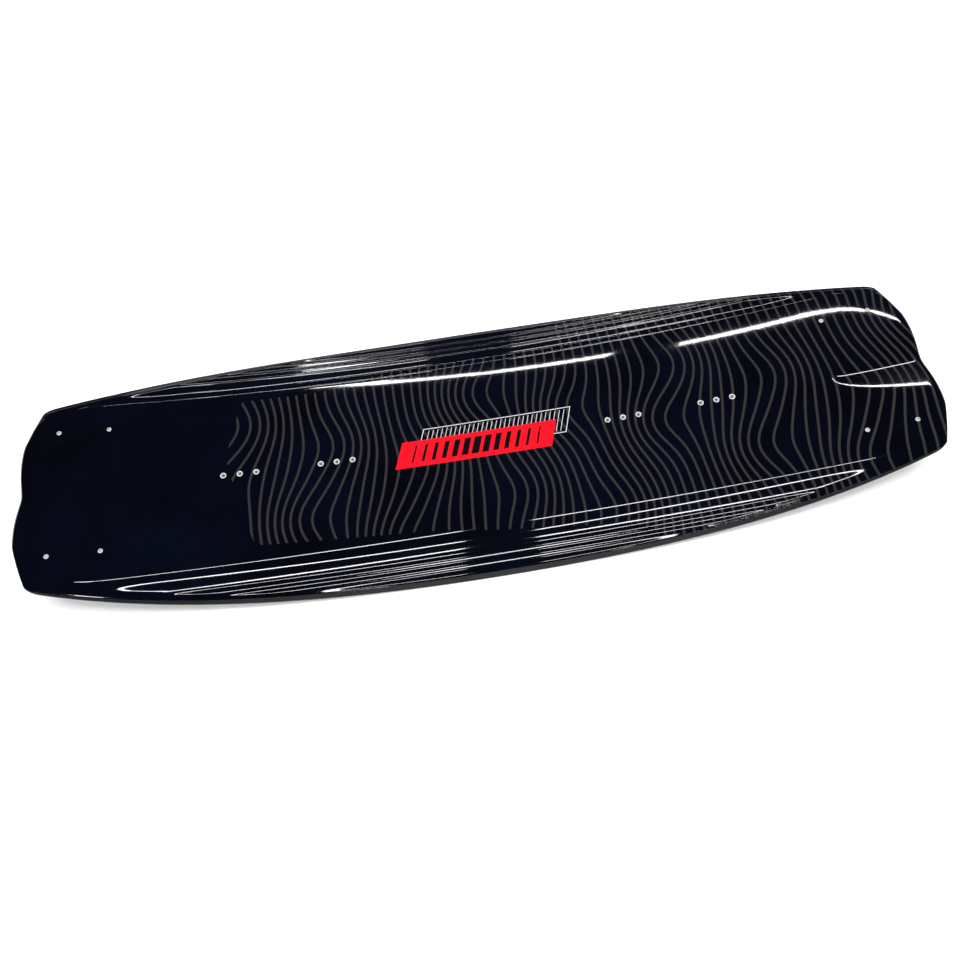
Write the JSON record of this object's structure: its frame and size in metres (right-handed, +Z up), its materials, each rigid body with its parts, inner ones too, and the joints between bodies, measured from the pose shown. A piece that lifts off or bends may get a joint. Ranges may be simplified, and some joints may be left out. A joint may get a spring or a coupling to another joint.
{
  "type": "wakeboard",
  "caption": "Twin-tip wakeboard: rockered laminated board with a stepped glossy deck, threaded binding inserts on the centreline and bolt-on fins under both tips.",
  "frame": {"origin": "under the middle of the board, on the surface that its base rests on", "axes": "+X along the board towards the nose, +Y across it towards the toe side, +Z up out of the deck"},
  "size_m": [1.4308, 0.445, 0.0796],
  "materials": {
    "topsheet_gloss": "gloss",
    "glass_laminate": "satin",
    "foam_core": "matt",
    "base_satin": "satin",
    "sidewall_matte": "matt",
    "dense_block": "matt",
    "insert_steel": "satin",
    "fin_plastic": "satin",
    "screw_steel": "polished",
    "nut_brass": "satin"
  },
  "bodies": {
    "root": {"topsheet": "topsheet_gloss", "top_laminate": "glass_laminate", "core": "foam_core", "bottom_laminate": "glass_laminate", "base_sheet": "base_satin", "sidewall_toe": "sidewall_matte", "sidewall_heel": "sidewall_matte", "tip_spacer_nose": "sidewall_matte", "tip_spacer_tail": "sidewall_matte", "binding_block_nose_1": "dense_block", "binding_block_nose_2": "dense_block", "binding_block_tail_1": "dense_block", "binding_block_tail_2": "dense_block", "fin_block_nose_toe": "dense_block", "fin_block_nose_heel": "dense_block", "fin_block_tail_toe": "dense_block", "fin_block_tail_heel": "dense_block", "binding_insert_nose_1": "insert_steel", "binding_insert_nose_2": "insert_steel", "binding_insert_nose_3": "insert_steel", "binding_insert_nose_4": "insert_steel", "binding_insert_nose_5": "insert_steel", "binding_insert_nose_6": "insert_steel", "binding_insert_tail_1": "insert_steel", "binding_insert_tail_2": "insert_steel", "binding_insert_tail_3": "insert_steel", "binding_insert_tail_4": "insert_steel", "binding_insert_tail_5": "insert_steel", "binding_insert_tail_6": "insert_steel", "fin_nose_toe": "fin_plastic", "fin_nose_heel": "fin_plastic", "fin_tail_toe": "fin_plastic", "fin_tail_heel": "fin_plastic", "fin_screw_nose_toe_inner": "screw_steel", "fin_screw_nose_toe_outer": "screw_steel", "fin_screw_nose_heel_inner": "screw_steel", "fin_screw_nose_heel_outer": "screw_steel", "fin_screw_tail_toe_inner": "screw_steel", "fin_screw_tail_toe_outer": "screw_steel", "fin_screw_tail_heel_inner": "screw_steel", "fin_screw_tail_heel_outer": "screw_steel", "fin_nut_nose_toe_inner": "nut_brass", "fin_nut_nose_toe_outer": "nut_brass", "fin_nut_nose_heel_inner": "nut_brass", "fin_nut_nose_heel_outer": "nut_brass", "fin_nut_tail_toe_inner": "nut_brass", "fin_nut_tail_toe_outer": "nut_brass", "fin_nut_tail_heel_inner": "nut_brass", "fin_nut_tail_heel_outer": "nut_brass"}
  },
  "joints": []
}
